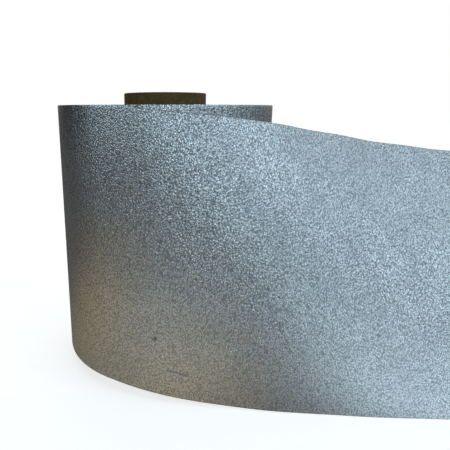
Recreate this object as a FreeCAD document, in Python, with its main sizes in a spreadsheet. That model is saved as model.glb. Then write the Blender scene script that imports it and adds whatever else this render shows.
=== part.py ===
import FreeCAD, Part
import math
import os
import re
import Sketcher

# A roll of embossed foil tape, standing on the end of its paper core with a length of tape
# drawn off to the right. The tape is a laminate: foil outside, adhesive, release liner inside.
# Millimetres; +Z is the core's axis, z = 0 the floor, -Y the front of the roll.

doc = FreeCAD.newDocument("foil_tape_roll")

# ---------------------------------------------------------------- driving dimensions

DIMENSIONS = {
    "roll_radius": 50.3,          # outside of the outermost turn
    "web_width": 120,             # width of the tape
    "bore_radius": 16,            # inside of the paper core
    "ply_thickness": 0.7,         # one ply of core board
    "ply_count": 5,
    "core_overhang": 5.5,         # core beyond the wound tape, at both ends
    "core_edge_radius": 0.6,      # worn round outer edge of the core's ends
    "foil_thickness": 0.10,       # over the embossing
    "adhesive_thickness": 0.05,
    "liner_thickness": 0.10,
    "turn_gap": 0.15,             # between the outermost turn and the turns below it
    "strip_width": 12,            # double-sided strip that starts the tape on the core
    "strip_thickness": 0.1,
    "departure_angle": 30.5,      # the tape leaves the roll this far left of its front, degrees
    "turn_end_angle": 30,         # the outermost turn begins this far right of the front, degrees
    "free_length": 178,           # tape drawn off the roll
    "joint_slit": 0.3,            # between the outermost turn and the drawn-off tape
    "far_heading": 2.5,           # plan direction of the tape's far end, degrees towards the front
    "curl_length": 31.2,          # over which the roll's curl dies out
    "lean_angle": 33.4,           # how far back the far upper edge leans, degrees
    "lean_length": 65.6,          # over which the lean sets in
    "bend_power": 10.9,           # how close to the upper edge the bend starts
    "bend_length": 39.8,          # over which the bend works down the web
    "dip": 5.3,                   # the lower edge sinks this far, to just above the floor
    "dip_length": 45.4,           # over which it sinks
    "lag_angle": 8,               # plan direction of the lean, degrees back from straight
}

sheet = doc.addObject("Spreadsheet::Sheet", "dimensions")
for row, (name, value) in enumerate(DIMENSIONS.items(), start=1):
    sheet.set("A%d" % row, name)
    sheet.set("B%d" % row, str(value))
    sheet.setAlias("B%d" % row, name)
doc.recompute()


def size(name):
    """Current value of a driving dimension."""
    return float(sheet.get(name))


def bind(obj, **expressions):
    """Binds an object's sizes to cells, which are written as plain aliases."""
    for prop, expression in expressions.items():
        obj.setExpression(prop, re.sub(r"\b(%s)\b" % "|".join(DIMENSIONS), r"dimensions.\1",
                                       expression))


sub_parts = []


def keep(obj, label):
    """Labels a sub-part, and lists it for the check and the files at the end."""
    obj.Label = label
    sub_parts.append(obj)
    return obj


# ---------------------------------------------------------------- paper core

# The core is a spiral-wound tube: plies of board glued on each other round a mandrel.


def plane(body, role):
    """A body's own origin plane."""
    return next(f for f in body.Origin.OriginFeatures if f.Role == role)


def core_ply(index):
    """One ply: an annulus, padded to the core's full length."""
    body = doc.addObject("PartDesign::Body", "ply_body_%d" % index)
    sketch = body.newObject("Sketcher::SketchObject", "ply_profile_%d" % index)
    sketch.AttachmentSupport = (plane(body, "XY_Plane"), [""])
    sketch.MapMode = "FlatFace"
    centre, axis = FreeCAD.Vector(0, 0, 0), FreeCAD.Vector(0, 0, 1)
    for side, plies in (("inside", index - 1), ("outside", index)):
        radius = size("bore_radius") + plies * size("ply_thickness")
        circle = sketch.addGeometry(Part.Circle(centre, axis, radius), False)
        sketch.addConstraint(Sketcher.Constraint("Coincident", circle, 3, -1, 1))
        number = sketch.addConstraint(Sketcher.Constraint("Radius", circle, radius))
        sketch.renameConstraint(number, side)
        bind(sketch, **{"Constraints." + side: "bore_radius + %d * ply_thickness" % plies})
    pad = body.newObject("PartDesign::Pad", "ply_length_%d" % index)
    pad.Profile = sketch
    bind(pad, Length="web_width + 2 * core_overhang")
    doc.recompute()
    if index == int(size("ply_count")):
        outside = size("bore_radius") + index * size("ply_thickness")
        rims = ["Edge%d" % (n + 1) for n, edge in enumerate(pad.Shape.Edges)
                if hasattr(edge.Curve, "Radius") and abs(edge.Curve.Radius - outside) < 1e-6]
        rounded = body.newObject("PartDesign::Fillet", "worn_rims")
        rounded.Base = (pad, rims)
        bind(rounded, Radius="core_edge_radius")
    keep(body, "core_ply_%d" % index)


for ply in range(1, int(size("ply_count")) + 1):
    core_ply(ply)

# ---------------------------------------------------------------- rings of wound tape

CORE_RADIUS = "(bore_radius + ply_count * ply_thickness)"


def cylinder(name, radius, height, bottom, angle="360", turned="0"):
    """A bound cylinder or sector that starts at the angle turned from the roll's front."""
    solid = doc.addObject("Part::Cylinder", name)
    bind(solid, **{"Radius": radius, "Height": height, "Angle": angle,
                   "Placement.Base.z": bottom,
                   "Placement.Rotation.Angle": turned + " - 90"})
    solid.Placement.Rotation.Axis = FreeCAD.Vector(0, 0, 1)
    return solid


def cut(name, base, tool):
    """One solid less another."""
    result = doc.addObject("Part::Cut", name)
    result.Base, result.Tool = base, tool
    return result


def ring(name, outside, inside, angle="360", turned="0"):
    """A ring, or a sector of one, over the width of the tape."""
    blank = cylinder(name + "_blank", outside, "web_width", "core_overhang", angle, turned)
    hole = cylinder(name + "_hole", inside, "web_width + 2", "core_overhang - 1")
    return cut(name, blank, hole)


# The starter strip is double-sided tape along the core, which the first turn is pressed on.
# It lies on the core's front.
strip_arc = "strip_width / " + CORE_RADIUS + " * 180 / pi"
keep(ring("strip", CORE_RADIUS + " + strip_thickness", CORE_RADIUS, strip_arc), "starter_strip")

# The wound pack is the coiled tape below the outermost turn, solid from the core outwards,
# with the starter strip's place left out of its bore.
LAMINATE = "(foil_thickness + adhesive_thickness + liner_thickness)"
pack_ring = ring("pack_ring", "roll_radius - " + LAMINATE + " - turn_gap", CORE_RADIUS)
strip_place = cylinder("strip_place", CORE_RADIUS + " + strip_thickness", "web_width + 2",
                       "core_overhang - 1", strip_arc)
keep(cut("pack", pack_ring, strip_place), "wound_pack")

# The outermost turn goes from the line where the tape leaves, round the back, to a line
# right of the front. It turns on the pack as tape is drawn off.
LAYERS = {
    "foil": ("0", "foil_thickness"),
    "adhesive": ("foil_thickness", "(foil_thickness + adhesive_thickness)"),
    "liner": ("(foil_thickness + adhesive_thickness)", LAMINATE),
}
for layer, (over, under) in LAYERS.items():
    keep(ring("turn_" + layer, "roll_radius - " + over, "roll_radius - " + under,
              "360 - departure_angle - turn_end_angle", "turn_end_angle"),
         "outer_turn_" + layer)

# ---------------------------------------------------------------- drawn-off tape

# Its lower edge leaves the roll on the tangent, uncurls, and sinks to the floor. Its upper
# edge leans back: a bend starts along the upper edge and works down the web. No primitive
# or sketch feature makes that surface, so each layer is a thin solid between two
# smooth surfaces through its points.

STEPS = 400


def lower_edge(along):
    """Plan position of the tape's outer face at its lower edge, by adding up small steps."""
    turned = math.radians(size("departure_angle"))
    far = math.radians(size("far_heading"))
    radius = size("roll_radius")
    x, y = -radius * math.sin(turned), -radius * math.cos(turned)
    step = along / STEPS
    for n in range(STEPS):
        middle = (n + 0.5) * step
        heading = far + (turned - far) * math.exp(-middle / size("curl_length"))
        x += step * math.cos(heading)
        y -= step * math.sin(heading)
    return x, y


def section(along, heights):
    """Points up the outer face, at the given distances from the lower edge."""
    x, y = lower_edge(along)
    width = size("web_width")
    most = math.radians(size("lean_angle")) * (1 - math.exp(-(along / size("lean_length")) ** 2))
    power = size("bend_power") * math.exp(-along / size("bend_length"))
    lag = math.radians(size("lag_angle"))
    dip = size("dip") * (1 - math.exp(-(along / size("dip_length")) ** 1.5))
    points, back, up, done = [], 0.0, 0.0, 0.0
    for height in heights:
        step = (height - done) / STEPS
        for n in range(STEPS):
            lean = most * ((done + (n + 0.5) * step) / width) ** power
            back += step * math.sin(lean)
            up += step * math.cos(lean)
        done = height
        points.append(FreeCAD.Vector(x - back * math.sin(lag), y + back * math.cos(lag),
                                     size("core_overhang") + up - dip))
    return points


def normals(along, heights):
    """Unit normals of the outer face, pointing out of the roll."""
    nudge = 0.05
    ahead, behind = section(along + nudge, heights), section(along - nudge, heights)
    here = section(along, heights)
    found = []
    for n in range(len(heights)):
        up = here[min(n + 1, len(heights) - 1)] - here[max(n - 1, 0)]
        found.append((ahead[n] - behind[n]).cross(up).normalize())
    return found


def thin_solid(front, rear):
    """Solid between two grids of points: their two faces, joined by ruled faces round the rim."""
    faces = []
    for grid in (front, rear):
        surface = Part.BSplineSurface()
        surface.interpolate(grid)
        faces.append(surface.toShape())
    rims = [face.Edges for face in faces]
    for edge in rims[0]:
        middle = edge.valueAt((edge.FirstParameter + edge.LastParameter) / 2)
        nearest = min(rims[1], key=lambda other: other.distToShape(Part.Vertex(middle))[0])
        faces.append(Part.makeRuledSurface(edge, nearest))
    shell = Part.makeShell(faces)
    shell.sewShape()
    solid = Part.makeSolid(shell)
    if solid.Volume < 0:
        solid.reverse()
    return solid


def drawn_off(layer, outer, inner):
    """One layer of the free tape, between two depths below the outer face. Its stations are
    closer together where it uncurls."""
    stations, rows = 24, 24
    length, slit, width = size("free_length"), size("joint_slit"), size("web_width")
    heights = [width * n / rows for n in range(rows + 1)]
    front, rear = [], []
    for station in range(stations + 1):
        along = slit + (length - slit) * (station / stations) ** 1.3
        face, out = section(along, heights), normals(along, heights)
        front.append([p - n * outer for p, n in zip(face, out)])
        rear.append([p - n * inner for p, n in zip(face, out)])
    free = doc.addObject("Part::Feature", "free_" + layer)
    free.Shape = thin_solid(front, rear)
    free.Placement = FreeCAD.Placement()
    keep(free, "free_web_" + layer)


depth = 0.0
for layer in LAYERS:
    thickness = size(layer + "_thickness")
    drawn_off(layer, depth, depth + thickness)
    depth += thickness

# ---------------------------------------------------------------- check and write

doc.recompute()
failed = [o.Name for o in doc.Objects if "Invalid" in o.State or "Error" in o.State]
bad = [o.Label for o in sub_parts if o.Shape.isNull() or not o.Shape.isValid()
       or len(o.Shape.Solids) != 1 or o.Shape.Volume <= 0]
if failed or bad:
    raise RuntimeError("failed objects: %s, bad shapes: %s" % (failed, bad))

os.makedirs("parts", exist_ok=True)
for obj in sub_parts:
    obj.Shape.exportStep("parts/%s.step" % obj.Label)
    box = obj.Shape.BoundBox
    print("%-20s %10.1f mm3  x %.1f..%.1f  y %.1f..%.1f  z %.2f..%.2f" % (
        obj.Label, obj.Shape.Volume, box.XMin, box.XMax, box.YMin, box.YMax, box.ZMin, box.ZMax))
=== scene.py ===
import bmesh
import bpy
import math
import random
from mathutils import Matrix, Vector, noise


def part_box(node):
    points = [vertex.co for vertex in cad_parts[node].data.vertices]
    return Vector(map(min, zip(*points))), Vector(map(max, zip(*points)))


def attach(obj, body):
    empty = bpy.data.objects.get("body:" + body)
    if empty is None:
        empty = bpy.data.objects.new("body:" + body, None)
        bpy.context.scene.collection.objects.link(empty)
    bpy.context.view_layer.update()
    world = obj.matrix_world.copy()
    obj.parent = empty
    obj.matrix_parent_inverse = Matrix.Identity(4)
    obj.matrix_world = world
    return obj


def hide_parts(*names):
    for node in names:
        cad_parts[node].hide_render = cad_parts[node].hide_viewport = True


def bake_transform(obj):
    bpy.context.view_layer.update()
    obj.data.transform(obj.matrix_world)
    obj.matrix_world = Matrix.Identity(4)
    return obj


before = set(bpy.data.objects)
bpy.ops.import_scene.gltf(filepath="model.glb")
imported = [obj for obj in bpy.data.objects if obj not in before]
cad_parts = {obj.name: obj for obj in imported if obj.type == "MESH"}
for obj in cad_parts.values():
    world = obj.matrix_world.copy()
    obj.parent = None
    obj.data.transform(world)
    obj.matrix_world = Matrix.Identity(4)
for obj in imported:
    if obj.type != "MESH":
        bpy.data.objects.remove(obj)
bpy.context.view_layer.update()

MM = 0.001

# ==================================================================== paper core, board plies
# The core is a spiral-wound tube of five plies, glued on each other round a mandrel. The three
# middle plies are recycled board, and only show as rings in the core's sawn ends.


def linear(code):
    """The linear colour of an sRGB hex value."""
    parts = [int(code[n:n + 2], 16) / 255 for n in (1, 3, 5)]
    return [c / 12.92 if c <= 0.04045 else ((c + 0.055) / 1.055) ** 2.4 for c in parts] + [1.0]


def add_node(tree, kind, inputs=None, **settings):
    """Adds a node with its settings; an input is a value, or a socket to link from."""
    made = tree.nodes.new(kind)
    for name, value in settings.items():
        setattr(made, name, value)
    for name, value in (inputs or {}).items():
        if isinstance(value, bpy.types.NodeSocket):
            tree.links.new(value, made.inputs[name])
        else:
            made.inputs[name].default_value = value
    return made


def start_material(name, roughness, metallic=0.0, ior=None):
    """A material with only its shader, and the coordinates that its patterns read."""
    made = bpy.data.materials.new(name)
    made.use_nodes = True
    tree = made.node_tree
    shader = tree.nodes["Principled BSDF"]
    shader.inputs["Roughness"].default_value = roughness
    shader.inputs["Metallic"].default_value = metallic
    if ior:
        shader.inputs["IOR"].default_value = ior
    place = add_node(tree, "ShaderNodeTexCoord").outputs["Object"]
    return made, tree, shader, place


def two_tones(tree, amount, low, high, dark, light):
    """Colour from dark to light as amount goes from low to high."""
    ramp = add_node(tree, "ShaderNodeValToRGB", {"Fac": amount})
    for element, at, code in zip(ramp.color_ramp.elements, (low, high), (dark, light)):
        element.position = at
        element.color = linear(code)
    return ramp.outputs["Color"]


def bumped(tree, shader, height, depth, strength=1.0, under=None):
    """Bends the shader's normal by a height that is worth depth metres at 1."""
    inputs = {"Height": height, "Distance": depth, "Strength": strength}
    if under:
        inputs["Normal"] = under
    made = add_node(tree, "ShaderNodeBump", inputs).outputs["Normal"]
    tree.links.new(made, shader.inputs["Normal"])
    return made


# Recycled board, uncoated: matt brown, mottled, and grainy with fibres 1 to 2 mm long.
board, tree, shader, place = start_material("recycled_board", roughness=0.85, ior=1.45)
FIBRE_LENGTH = 1.6 * MM
mottle = add_node(tree, "ShaderNodeTexNoise", {
    "Vector": place, "Scale": 1 / (4 * FIBRE_LENGTH), "Detail": 6.0, "Roughness": 0.6})
fibres = add_node(tree, "ShaderNodeTexNoise", {
    "Vector": add_node(tree, "ShaderNodeMapping", {
        "Vector": place, "Scale": (1, 1, 4)}).outputs["Vector"],
    "Scale": 1 / FIBRE_LENGTH, "Detail": 4.0, "Roughness": 0.7})
tone = add_node(tree, "ShaderNodeMath", {0: mottle.outputs["Fac"], 1: fibres.outputs["Fac"]},
                operation="MULTIPLY").outputs["Value"]
tree.links.new(two_tones(tree, tone, 0.12, 0.42, "#453417", "#86693C"),
               shader.inputs["Base Color"])
bumped(tree, shader, fibres.outputs["Fac"], 0.15 * MM)

ply_nodes = sorted(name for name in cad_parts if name.startswith("core_ply_"))
for name in ply_nodes[1:-1]:
    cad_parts[name].data.materials.clear()
    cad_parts[name].data.materials.append(board)

# ==================================================================== core lining and wrap
# The innermost and outermost plies are kraft paper. Each is one strip wound in a helix, so
# a butt seam climbs round the tube at the strip's own angle. The ends are worn round.

core_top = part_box(ply_nodes[0])[1].z
pack_low, pack_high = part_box("wound_pack")
OVERHANG = pack_low.z
STRIP_ANGLE = math.radians(28)     # of the seam, from level
SEAM_WIDTH = 0.7 * MM
SEAM_DEPTH = 0.12 * MM
PLY = 0.7 * MM
LINING_WORN = 0.15 * MM            # how far round each rim is worn
WRAP_WORN = 0.5 * MM
ROW = 0.5 * MM                     # between the rows of mesh that the seam is pressed into
TUBE_STEPS = 240
SHARP = math.radians(40)           # creases from here on stay sharp


def finish_mesh(name, bm, *materials, smooth=True):
    """Turns a bmesh into a named piece, with a material for each of its slots."""
    mesh = bpy.data.meshes.new(name)
    bm.to_mesh(mesh)
    bm.free()
    piece = bpy.data.objects.new(name, mesh)
    bpy.context.scene.collection.objects.link(piece)
    for material in materials:
        mesh.materials.append(material)
    for face in mesh.polygons:
        face.use_smooth = smooth
    mesh.set_sharp_from_angle(angle=SHARP)
    return piece


def spun(profile, steps):
    """A closed solid of revolution about the core's axis, from (radius, height) points."""
    bm = bmesh.new()
    verts = [bm.verts.new((radius, 0, height)) for radius, height in profile]
    edges = [bm.edges.new(pair) for pair in zip(verts, verts[1:] + verts[:1])]
    bmesh.ops.spin(bm, geom=verts + edges, axis=(0, 0, 1), cent=(0, 0, 0),
                   angle=2 * math.pi, steps=steps, use_merge=True, use_duplicate=False)
    bmesh.ops.remove_doubles(bm, verts=bm.verts, dist=1e-7)
    bmesh.ops.recalc_face_normals(bm, faces=bm.faces)
    return bm


def rounded_end(radius, height, edge, inward, upward, steps=4):
    """Points of a quarter circle at a rim, from the wall to the end face."""
    turns = [math.pi / 2 * n / steps for n in range(steps + 1)]
    return [(radius - inward * edge * (1 - math.cos(t)),
             height - upward * edge * (1 - math.sin(t))) for t in turns]


def kraft_ply(name, inside, outside, seam_radius, worn_edge):
    """A thin tube with worn rims and a helical seam on the wall that shows."""
    def levels(low, high):
        count = round((high - low) / ROW)
        return [low + (high - low) * n / count for n in range(1, count)]

    shows = OVERHANG + 1 * MM       # of each end; the pack hides the rest
    rises = levels(worn_edge, shows) + [core_top / 2]
    rises += levels(core_top - shows, core_top - worn_edge)
    shown = outside if seam_radius == outside else inside
    hidden = inside if shown == outside else outside
    inward = 1 if shown == outside else -1
    top = rounded_end(shown, core_top, worn_edge, inward, 1)
    bottom = rounded_end(shown, 0, worn_edge, inward, -1)
    profile = bottom[::-1] + [(shown, level) for level in rises] + top
    profile += [(hidden, core_top), (hidden, 0)]
    bm = spun(profile, TUBE_STEPS)
    climb = shown * math.tan(STRIP_ANGLE)
    for vert in bm.verts:
        radius = math.hypot(vert.co.x, vert.co.y)
        if abs(radius - shown) > worn_edge:
            continue
        turn = math.atan2(vert.co.y, vert.co.x)
        pitch = 2 * math.pi * climb
        above = (vert.co.z - climb * turn) % pitch
        off = min(above, pitch - above) * math.cos(STRIP_ANGLE)
        sunk = SEAM_DEPTH * max(0.0, 1 - off / SEAM_WIDTH) * inward
        vert.co.xy *= (radius - sunk) / radius
    return finish_mesh(name, bm, kraft)


# Kraft paper, calendered: brown, a little smoother than board, and mottled by its fibres.
kraft, tree, shader, place = start_material("kraft_paper", roughness=0.7, ior=1.45)
mottle = add_node(tree, "ShaderNodeTexNoise", {
    "Vector": place, "Scale": 1 / (3 * MM), "Detail": 8.0, "Roughness": 0.65})
fibres = add_node(tree, "ShaderNodeTexNoise", {
    "Vector": place, "Scale": 1 / (0.8 * MM), "Detail": 3.0, "Roughness": 0.6})
tone = add_node(tree, "ShaderNodeMath", {0: mottle.outputs["Fac"], 1: fibres.outputs["Fac"]},
                operation="MULTIPLY").outputs["Value"]
tree.links.new(two_tones(tree, tone, 0.14, 0.40, "#4E391C", "#7E6032"),
               shader.inputs["Base Color"])
bumped(tree, shader, fibres.outputs["Fac"], 0.08 * MM)

for name, node_name, on_outside, worn in (
        ("core_lining", ply_nodes[0], False, LINING_WORN),
        ("core_wrap", ply_nodes[-1], True, WRAP_WORN)):
    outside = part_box(node_name)[1].x
    inside = outside - PLY
    tube = kraft_ply(name, inside, outside, outside if on_outside else inside, worn)
    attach(tube, "roll")
    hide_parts(node_name)

# ==================================================================== starter strip
# Double-sided tape along the core, pressed under the first turn. Only its two short ends
# show, as a thin pale line between core and pack.

strip_tape, tree, shader, place = start_material("double_sided_tape", roughness=0.35, ior=1.47)
cloudy = add_node(tree, "ShaderNodeTexNoise", {"Vector": place, "Scale": 1 / (2 * MM),
                                               "Detail": 3.0})
tree.links.new(two_tones(tree, cloudy.outputs["Fac"], 0.3, 0.7, "#CFC7B0", "#E6E0CE"),
               shader.inputs["Base Color"])
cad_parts["starter_strip"].data.materials.clear()
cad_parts["starter_strip"].data.materials.append(strip_tape)

# ==================================================================== embossed foil
# Soft aluminium foil run between engraved rollers that press a pebble grain into it: small
# uneven domes, a little over half a millimetre apart, with valleys between them. The metal is
# bright, and the grain spreads every reflection and breaks it into sparkles.

GRAIN = 0.60 * MM          # from one pebble to the next
DRAWN = 1.3                # pebbles are this much longer across the web than along it
VALLEY, TOP = 0.05, 0.50   # values of the pattern that count as a valley's floor and a top
EMBOSSED = 0.0621 * MM     # height from a valley's floor to a pebble's top
RUBBED = 14 * MM           # size of the rubbed patches
foil, foil_tree, foil_shader, foil_place = start_material(
    "embossed_aluminium_foil", roughness=0.15, metallic=1.0)
drawn = add_node(foil_tree, "ShaderNodeMapping", {
    "Vector": foil_place, "Scale": (1, 1, 1 / DRAWN)}).outputs["Vector"]
cells = add_node(foil_tree, "ShaderNodeTexVoronoi", {
    "Vector": drawn, "Scale": 1 / GRAIN, "Smoothness": 0.25, "Randomness": 1.0},
    feature="SMOOTH_F1")
domed = add_node(foil_tree, "ShaderNodeMath", {0: cells.outputs["Distance"], 1: 2},
                 operation="POWER").outputs["Value"]
uneven = add_node(foil_tree, "ShaderNodeTexNoise", {
    "Vector": drawn, "Scale": 2 / GRAIN, "Detail": 1.0}).outputs["Fac"]
pebble = add_node(foil_tree, "ShaderNodeMath", {0: domed, 1: -1.0, 2: uneven},
                  operation="MULTIPLY_ADD").outputs["Value"]
# The valleys are painted darker than the tops, as painted shade for the light that they
# trap between the pebbles; rubbing has left broad faint patches over both.
painted_valley_shade = two_tones(foil_tree, pebble, VALLEY, TOP, "#BABCBF", "#FFFFFF")
rubbed = add_node(foil_tree, "ShaderNodeTexNoise", {
    "Vector": foil_place, "Scale": 1 / RUBBED, "Detail": 3.0})
patches = two_tones(foil_tree, rubbed.outputs["Fac"], 0.3, 0.75, "#EDEFF0", "#FAFBFB")
# the foil's colour: the painted valley shade, times the rubbed patches
shaded_and_rubbed_metal = add_node(foil_tree, "ShaderNodeVectorMath", {0: painted_valley_shade, 1: patches},
                 operation="MULTIPLY").outputs["Vector"]
embossing = bumped(foil_tree, foil_shader, pebble, EMBOSSED / (TOP - VALLEY))

# ==================================================================== wound pack
# About 120 turns of the tape below the outermost one. Each turn's edge stands a little
# proud of its neighbours or behind them, so the ends are finely ringed. The side is the foil
# of the turn below the outermost one.

TURN = 0.25 * MM
PACK_STEPS = 192
PACK_UNEVEN = 0.10 * MM    # measure of how far the turns' edges stand in and out
KEEPS = 0.8                # share of a turn's own shift that the next turn takes over
WANDER, STAGGER = 0.5, 0.35        # shares of PACK_UNEVEN: at random, and turn by turn
BEHIND = 0.02 * MM         # every edge stays at least this far inside the end plane
core_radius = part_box(ply_nodes[-1])[1].x
pack_radius = pack_high.x
random.seed(7)

# Edges of foil, adhesive and paper packed on each other: silver and off-white rings as fine
# as the tape, drawn at the tape's real thickness.
slit_edges, tree, shader, place = start_material("slit_tape_edges", roughness=0.42,
                                                 metallic=0.55)
apart = add_node(tree, "ShaderNodeSeparateXYZ", {"Vector": place})
squares = [add_node(tree, "ShaderNodeMath", {0: apart.outputs[axis], 1: apart.outputs[axis]},
                    operation="MULTIPLY").outputs["Value"] for axis in ("X", "Y")]
total = add_node(tree, "ShaderNodeMath", {0: squares[0], 1: squares[1]}, operation="ADD")
from_axis = add_node(tree, "ShaderNodeMath", {0: total.outputs["Value"], 1: 0.5},
                     operation="POWER")
counted = add_node(tree, "ShaderNodeMath", {0: from_axis.outputs["Value"], 1: 1 / TURN},
                   operation="MULTIPLY")
rings = add_node(tree, "ShaderNodeTexNoise", {
    "W": counted.outputs["Value"], "Scale": 1.0, "Detail": 3.0, "Roughness": 0.7},
    noise_dimensions="1D")
tree.links.new(two_tones(tree, rings.outputs["Fac"], 0.3, 0.7, "#8F8E8A", "#D8D6CF"),
               shader.inputs["Base Color"])
bumped(tree, shader, rings.outputs["Fac"], 0.12 * MM)

turns = round((pack_radius - core_radius) / TURN)
radii = [core_radius + (pack_radius - core_radius) * n / turns for n in range(turns + 1)]


def ringed_end(level, outward):
    """(radius, height) of each turn's edge, standing a little behind the end plane."""
    wander, points = 0.0, []
    for n, radius in enumerate(radii):
        wander = KEEPS * wander + random.uniform(-1, 1) * PACK_UNEVEN * WANDER
        step = PACK_UNEVEN * STAGGER * (-1) ** n
        points.append((radius, level + outward * (min(wander + step, 0) - BEHIND)))
    return points


profile = ringed_end(pack_low.z, -1) + ringed_end(pack_high.z, 1)[::-1]
bm = spun(profile, PACK_STEPS)
for face in bm.faces:
    centre = face.calc_center_median()
    on_side = math.hypot(centre.x, centre.y) > pack_radius - 0.1 * TURN
    face.material_index = int(on_side)
pack = finish_mesh("coiled_turns", bm, slit_edges, foil)
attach(pack, "roll")
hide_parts("wound_pack")

# ==================================================================== tape, drawn off
# The web is a laminate: embossed foil outside, clear adhesive, silicone-coated release paper
# inside. It comes round the roll, leaves it at the front left on the tangent, uncurls, sinks
# to the floor along its lower edge and leans back along its upper edge.

roll_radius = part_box("outer_turn_foil")[1].x
web_low, web_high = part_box("outer_turn_foil")[0].z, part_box("outer_turn_foil")[1].z
WIDTH = web_high - web_low
DEPARTURE = math.radians(30.5)     # where the web leaves, left of the roll's front
FAR_HEADING = math.radians(2.5)    # how far towards the front it still heads in the end
FREE_LENGTH = 178 * MM
CURL_LENGTH = 31.2 * MM            # over which the roll's curl dies out
LEAN = math.radians(33.4)          # how far the upper edge leans back in the end
LEAN_LENGTH = 65.6 * MM            # over which that lean comes on
BEND_POWER = 10.9                  # how much the first of the lean keeps to the upper edge
BEND_LENGTH = 39.8 * MM            # over which the lean spreads down the web
DIP = 5.3 * MM                     # how far the lower edge sinks
DIP_LENGTH = 45.4 * MM             # over which it sinks
DIP_POWER = 1.5
LAG = math.radians(8)              # the web leans this far to the left of straight back
BEND_STEPS = 8                     # taken up the web from one row of the mesh to the next
CELL = 1.4 * MM                    # of the mesh
WOUND_LENGTH = math.radians(119) * roll_radius   # web shown as one piece round the left side
layer_depths = {"foil": (0, 0.10 * MM), "adhesive": (0.10 * MM, 0.05 * MM),
                "liner": (0.15 * MM, 0.10 * MM)}


def lower_edge(along):
    """Plan position of the web's lower edge, at a distance along it from the departure."""
    if along <= 0:
        turned = along / roll_radius - DEPARTURE
        return roll_radius * math.sin(turned), -roll_radius * math.cos(turned)
    x, y = -roll_radius * math.sin(DEPARTURE), -roll_radius * math.cos(DEPARTURE)
    steps = max(1, round(along / MM))
    step = along / steps
    for n in range(steps):
        curled = math.exp(-(n + 0.5) * step / CURL_LENGTH)
        heading = FAR_HEADING + (DEPARTURE - FAR_HEADING) * curled
        x += step * math.cos(heading)
        y -= step * math.sin(heading)
    return x, y


def web_column(along, heights):
    """Points up the web's outer face, at the given distances from its lower edge."""
    x, y = lower_edge(along)
    free = max(along, 0.0)
    most = LEAN * (1 - math.exp(-(free / LEAN_LENGTH) ** 2))
    power = BEND_POWER * math.exp(-free / BEND_LENGTH)
    dip = DIP * (1 - math.exp(-(free / DIP_LENGTH) ** DIP_POWER))
    back, up, done, points = 0.0, 0.0, 0.0, []
    for height in heights:
        step = (height - done) / BEND_STEPS
        for n in range(BEND_STEPS):
            lean = most * ((done + (n + 0.5) * step) / WIDTH) ** power
            back += step * math.sin(lean)
            up += step * math.cos(lean)
        done = height
        points.append(Vector((x - back * math.sin(LAG), y + back * math.cos(LAG),
                              web_low + up - dip)))
    return points


# Broad, shallow places where the web has been leant on: (along, height, size, depth)
dents = [(96 * MM, 88 * MM, 4.5 * MM, 0.35 * MM), (58 * MM, 30 * MM, 3.2 * MM, 0.30 * MM)]
SLIT_BURR = 0.5 * MM       # width of the edge that the slitting knife turned over
BURR_DEPTH = 0.10 * MM     # how far that edge is turned in
SETTLES = 40 * MM          # drawn-off length over which waves and unevenness come on
EDGE_WAVE = 34 * MM        # from one wave of the free upper edge to the next
EDGE_SWAY = 0.25 * MM      # how far the waves stand out
EDGE_REACH = 14 * MM       # how far down from the upper edge they die out
UNEVEN = 0.5 * MM          # broad unevenness of the free web
UNEVEN_ALONG, UNEVEN_UP = 34 * MM, 60 * MM


def pushed_out(along, height):
    """How far the web stands out from its path at a place; dents are below 0."""
    moved = 0.0
    for at, up, size, depth in dents:
        moved -= depth * math.exp(-((along - at) ** 2 + (height - up) ** 2) / size ** 2)
    free = min(max(along / SETTLES, 0.0), 1.0)
    upper = math.exp(-(WIDTH - height) / EDGE_REACH)
    moved += free * upper * EDGE_SWAY * math.sin(2 * math.pi * along / EDGE_WAVE)
    broad = noise.noise(Vector((along / UNEVEN_ALONG, height / UNEVEN_UP, 0)))
    moved += free * UNEVEN * broad
    return moved


def burr(height):
    """How far a slit edge is turned in."""
    from_edge = min(height, WIDTH - height)
    return BURR_DEPTH * max(0.0, 1 - from_edge / SLIT_BURR)


def edge_rows():
    """Heights of the mesh's rows: close together at the slit edges, where the burr is."""
    close = [0.0, 0.25 * MM, 0.5 * MM, 0.9 * MM, 1.5 * MM]
    between = WIDTH - 2 * close[-1]
    count = round(between / CELL)
    middle = [close[-1] + between * n / count for n in range(1, count)]
    return close + middle + [WIDTH - height for height in reversed(close)]


def web_layer(name, first, last, depth, thickness, material, place_of, out_at=None):
    """A layer of web: a flat grid, laid on the web's path, then given its thickness.

    It runs from first to last along the path, depth below the web's outer face. place_of
    gives the points of one column of the grid, and out_at how far each stands out.
    """
    heights = edge_rows()
    columns, rows = round((last - first) / CELL), len(heights) - 1
    bm = bmesh.new()
    bmesh.ops.create_grid(bm, x_segments=columns, y_segments=rows, size=0.5)
    stations, cells, shifts = {}, {}, {}
    for vert in bm.verts:
        column = round((vert.co.x + 0.5) * columns)
        row = round((vert.co.y + 0.5) * rows)
        along = first + (last - first) * column / columns
        if column not in stations:
            stations[column] = place_of(along, heights)
        cells[vert] = (along, heights[row])
        vert.co = stations[column][row]
    bmesh.ops.recalc_face_normals(bm, faces=bm.faces)
    leftmost = min(bm.faces, key=lambda face: face.calc_center_median().x)
    if leftmost.normal.x > 0:      # then the grid faces in; the left side has to face left
        bmesh.ops.reverse_faces(bm, faces=bm.faces)
    bm.normal_update()
    for vert in bm.verts:
        along, height = cells[vert]
        out = out_at(along, height) if out_at else 0.0
        shifts[vert] = vert.normal * (out - burr(height) - depth)
    for vert, shift in shifts.items():
        vert.co += shift
    bmesh.ops.solidify(bm, geom=bm.faces[:], thickness=thickness)
    bmesh.ops.recalc_face_normals(bm, faces=bm.faces)
    return finish_mesh(name, bm, material)


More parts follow.
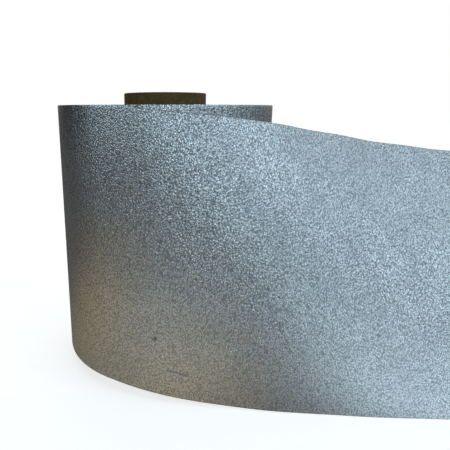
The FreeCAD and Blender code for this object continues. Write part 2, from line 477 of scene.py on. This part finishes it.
def falls_off(tree, exponent, strength):
    """A value: strength times e to the exponent."""
    power = add_node(tree, "ShaderNodeMath", {0: exponent}, operation="EXPONENT")
    return add_node(tree, "ShaderNodeMath", {0: power.outputs["Value"], 1: strength},
                    operation="MULTIPLY").outputs["Value"]


def spot(tree, place, centre, reach, strength):
    """A value that is strength at a point, and falls off softly within reach of it."""
    away = add_node(tree, "ShaderNodeVectorMath", {0: place, 1: centre}, operation="DISTANCE")
    square = add_node(tree, "ShaderNodeMath", {0: away.outputs["Value"], 1: 2},
                      operation="POWER").outputs["Value"]
    exponent = add_node(tree, "ShaderNodeMath", {0: square, 1: -0.5 / reach ** 2},
                        operation="MULTIPLY").outputs["Value"]
    return falls_off(tree, exponent, strength)


# Small sharp knocks in the foil, and a scratch, which is a row of them: (along, height,
# reach, depth). They are finer than the mesh, so they are pressed in over the grain, and
# the foil's colour is darkened in them, as painted shade and as the dirt that they hold.
knocks = [(23 * MM, 26.5 * MM, 0.6 * MM, 0.30 * MM), (-10.5 * MM, 52 * MM, 0.5 * MM, 0.16 * MM),
          (-27 * MM, 1.2 * MM, 0.7 * MM, 0.30 * MM)]
SCRATCH_FROM, SCRATCH_TO = (28.5 * MM, 12.7 * MM), (36.5 * MM, 11.8 * MM)
SCRATCH_REACH, SCRATCH_DEPTH = 0.35 * MM, 0.20 * MM
SCRATCH_POINTS = 9
# painted shade and dirt: the share of the foil's colour that is lost for each mm of depth
DIRT_AND_SHADE = 2.5                 # share of the metal's colour that is lost for each mm of depth
for n in range(SCRATCH_POINTS):
    share = n / (SCRATCH_POINTS - 1)
    along, height = [a + (b - a) * share for a, b in zip(SCRATCH_FROM, SCRATCH_TO)]
    knocks.append((along, height, SCRATCH_REACH, SCRATCH_DEPTH))
pressed = None             # in mm, below 0 where the foil is pressed in
for along, height, reach, depth in knocks:
    hollow = spot(foil_tree, foil_place, web_column(along, [height])[0], reach, -depth / MM)
    if pressed is not None:
        hollow = add_node(foil_tree, "ShaderNodeMath", {0: pressed, 1: hollow}).outputs["Value"]
    pressed = hollow
bumped(foil_tree, foil_shader, pressed, MM, under=embossing)
# the foil is darkened in the knocks and the scratch: painted shade, and dirt
kept_past_dirt_and_shade = add_node(foil_tree, "ShaderNodeMath", {0: pressed, 1: DIRT_AND_SHADE, 2: 1.0},
                 operation="MULTIPLY_ADD").outputs["Value"]
dirt_and_shade_colour = add_node(foil_tree, "ShaderNodeVectorMath", {0: shaded_and_rubbed_metal, "Scale": kept_past_dirt_and_shade},
                   operation="SCALE").outputs["Vector"]
foil_tree.links.new(dirt_and_shade_colour, foil_shader.inputs["Base Color"])

# Silicone-coated release paper: off-white, smooth, faintly glossy, with the pebble grain
# showing through from the foil.
paper, tree, shader, place = start_material("release_paper", roughness=0.5, ior=1.42)
mottle = add_node(tree, "ShaderNodeTexNoise", {
    "Vector": place, "Scale": 1 / (6 * MM), "Detail": 6.0}).outputs["Fac"]
tree.links.new(two_tones(tree, mottle, 0.3, 0.7, "#C9C1AE", "#DDD7C8"),
               shader.inputs["Base Color"])
through = add_node(tree, "ShaderNodeTexVoronoi", {
    "Vector": place, "Scale": 1 / GRAIN}, feature="SMOOTH_F1").outputs["Distance"]
bumped(tree, shader, through, 0.05 * MM)

# Acrylic adhesive: glossy; only its edge shows, as a thin yellowish line.
glue, tree, shader, place = start_material("acrylic_adhesive", roughness=0.2, ior=1.47)
mottle = add_node(tree, "ShaderNodeTexNoise", {
    "Vector": place, "Scale": 1 / (1.5 * MM), "Detail": 2.0}).outputs["Fac"]
tree.links.new(two_tones(tree, mottle, 0.3, 0.7, "#BFB79A", "#D2CBB2"),
               shader.inputs["Base Color"])

layer_materials = {"foil": foil, "adhesive": glue, "liner": paper}
for layer, (depth, thickness) in layer_depths.items():
    sheet = web_layer("web_" + layer, -WOUND_LENGTH, FREE_LENGTH, depth, thickness,
                      layer_materials[layer], web_column, pushed_out)
    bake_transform(sheet)
    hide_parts("free_web_" + layer)

# ==================================================================== outermost turn
# The same web goes on round the back and the right of the roll. Its last 28 degrees sink by
# one thickness of tape, where it passes below the web that leaves.

TURN_SINKS = math.radians(28)
TURN_ENDS = math.radians(2)        # right of the roll's front
ABOVE_PACK = 0.03 * MM             # from the pack's side out to the foil's face, where it has sunk
turn_length = 2 * math.pi * roll_radius - WOUND_LENGTH - (DEPARTURE + TURN_ENDS) * roll_radius


def turn_column(along, heights):
    """Points up the outermost turn's outer face; along is counted from its end at the front."""
    turned = TURN_ENDS + along / roll_radius
    share = min(along / roll_radius / TURN_SINKS, 1.0)
    radius = roll_radius - (roll_radius - pack_radius - ABOVE_PACK) * (1 - share)
    return [Vector((radius * math.sin(turned), -radius * math.cos(turned), web_low + height))
            for height in heights]


for layer, (depth, thickness) in layer_depths.items():
    lapped = web_layer("turn_" + layer, 0.0, turn_length, depth, thickness,
                       layer_materials[layer], turn_column)
    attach(lapped, "outer_turn")
    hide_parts("outer_turn_" + layer)

# ==================================================================== floor and light
# A plain pale floor and background. The foil is a mirror broken up by its grain, so what it
# mirrors is laid out apart from them: a dim floor with soft pools of light painted on it, which
# the floor gives off as its own glow to every ray but the camera's, and large soft lights
# round and above the roll.

DAYLIGHT = "#D6F0FF"
LAMPLIGHT = "#FFDF90"
PLAIN = "#FFFFFF"
FLOOR_SIZE = 3.0           # from its middle to its sides, in metres
FLOOR_LIFT = 0.68          # own light that keeps the floor pale for the camera
FLOOR_DIM = (PLAIN, 0.1)
# pools of light painted on the floor, as part of its own glow
PAINTED_LIGHT_POOLS = [                  # centre x, y and reach in metres, colour, strength
    (0.22, -0.14, 0.06, DAYLIGHT, 1.8), (0.11, -0.085, 0.03, DAYLIGHT, 0.6),
    (-0.04, -0.15, 0.06, DAYLIGHT, 0.25), (-0.12, -0.06, 0.06, LAMPLIGHT, 0.25),
    (0.0, -0.085, 0.03, LAMPLIGHT, 0.2)]
SOFT_LIGHTS = [            # azimuth from the front and elevation in degrees, sharpness, colour, strength
    # large soft boxes at the right, in five parts
    (45, 25, 90, DAYLIGHT, 3.5), (65, 12, 90, DAYLIGHT, 3.0), (72, 38, 90, DAYLIGHT, 3.0),
    (105, 10, 60, DAYLIGHT, 1.0), (108, 32, 60, DAYLIGHT, 1.5),
    # one soft box low in front and one at the left
    (4, 6, 40, DAYLIGHT, 3.5), (-60, 22, 30, DAYLIGHT, 2.5),
    # fill from above and from behind
    (0, 86, 25, PLAIN, 1.2), (-165, 22, 20, PLAIN, 0.8), (150, 22, 20, PLAIN, 1.0),
    (180, 50, 6, PLAIN, 0.4)]


def summed(tree, terms):
    """The sum of (colour, strength) terms, as a colour; a strength is a number or a socket."""
    total = None
    for code, amount in terms:
        tinted = add_node(tree, "ShaderNodeVectorMath", {
            0: linear(code)[:3], "Scale": amount}, operation="SCALE").outputs["Vector"]
        if total is not None:
            tinted = add_node(tree, "ShaderNodeVectorMath", {0: total, 1: tinted},
                              operation="ADD").outputs["Vector"]
        total = tinted
    return total


bm = bmesh.new()
bmesh.ops.create_grid(bm, x_segments=1, y_segments=1, size=FLOOR_SIZE)
ground = bpy.data.materials.new("pale_floor")
ground.use_nodes = True
tree = ground.node_tree
tree.nodes.clear()
place = add_node(tree, "ShaderNodeTexCoord").outputs["Object"]
terms = [FLOOR_DIM]
for x, y, reach, code, strength in PAINTED_LIGHT_POOLS:
    terms.append((code, spot(tree, place, (x, y, 0), reach, strength)))
# painted light: the floor's own glow, dim with pools of light, for every ray but the camera's
painted_floor_glow = add_node(tree, "ShaderNodeEmission", {"Color": summed(tree, terms)})
matt = add_node(tree, "ShaderNodeBsdfDiffuse", {"Color": linear("#F6F6F5")})
glow = add_node(tree, "ShaderNodeEmission", {"Color": linear(PLAIN), "Strength": FLOOR_LIFT})
plain = add_node(tree, "ShaderNodeAddShader", {0: matt.outputs[0], 1: glow.outputs[0]})
seen = add_node(tree, "ShaderNodeLightPath").outputs["Is Camera Ray"]
mixed = add_node(tree, "ShaderNodeMixShader", {0: seen, 1: painted_floor_glow.outputs[0],
                                               2: plain.outputs[0]})
add_node(tree, "ShaderNodeOutputMaterial", {"Surface": mixed.outputs[0]})
floor = finish_mesh("floor", bm, ground, smooth=False)

world = bpy.data.worlds.new("studio")
bpy.context.scene.world = world
world.use_nodes = True
tree = world.node_tree
tree.nodes.clear()
toward = add_node(tree, "ShaderNodeTexCoord").outputs["Generated"]
terms = []
for azimuth, elevation, sharpness, code, strength in SOFT_LIGHTS:
    turned, raised = math.radians(azimuth), math.radians(elevation)
    centre = (math.sin(turned) * math.cos(raised), -math.cos(turned) * math.cos(raised),
              math.sin(raised))
    near = add_node(tree, "ShaderNodeVectorMath", {0: toward, 1: centre},
                    operation="DOT_PRODUCT").outputs["Value"]
    exponent = add_node(tree, "ShaderNodeMath", {0: near, 1: sharpness, 2: -sharpness},
                        operation="MULTIPLY_ADD").outputs["Value"]
    terms.append((code, falls_off(tree, exponent, strength)))
around = add_node(tree, "ShaderNodeBackground", {"Color": summed(tree, terms)})
white = add_node(tree, "ShaderNodeBackground", {"Color": linear(PLAIN)})
seen = add_node(tree, "ShaderNodeLightPath").outputs["Is Camera Ray"]
mixed = add_node(tree, "ShaderNodeMixShader", {0: seen, 1: around.outputs[0],
                                               2: white.outputs[0]})
add_node(tree, "ShaderNodeOutputWorld", {"Surface": mixed.outputs[0]})

LENS = 34.63               # focal length in millimetres, on a sensor 36 mm wide
SHIFT = 0.133
PITCH = math.radians(15.03)        # below level
DISTANCE = 4.291 * roll_radius     # in front of the roll's axis
BELOW_TOP = 0.0304 * roll_radius   # of the camera, below the tape's upper edge
camera = bpy.data.objects.new("camera", bpy.data.cameras.new("camera"))
bpy.context.scene.collection.objects.link(camera)
camera.data.sensor_width = 36
camera.data.lens = LENS
camera.data.shift_x = SHIFT
camera.location = (0, -DISTANCE, web_high - BELOW_TOP)
camera.rotation_euler = (math.pi / 2 - PITCH, 0, 0)
camera.data.clip_start = 0.01
bpy.context.scene.camera = camera
bpy.context.scene.view_settings.view_transform = "Standard"
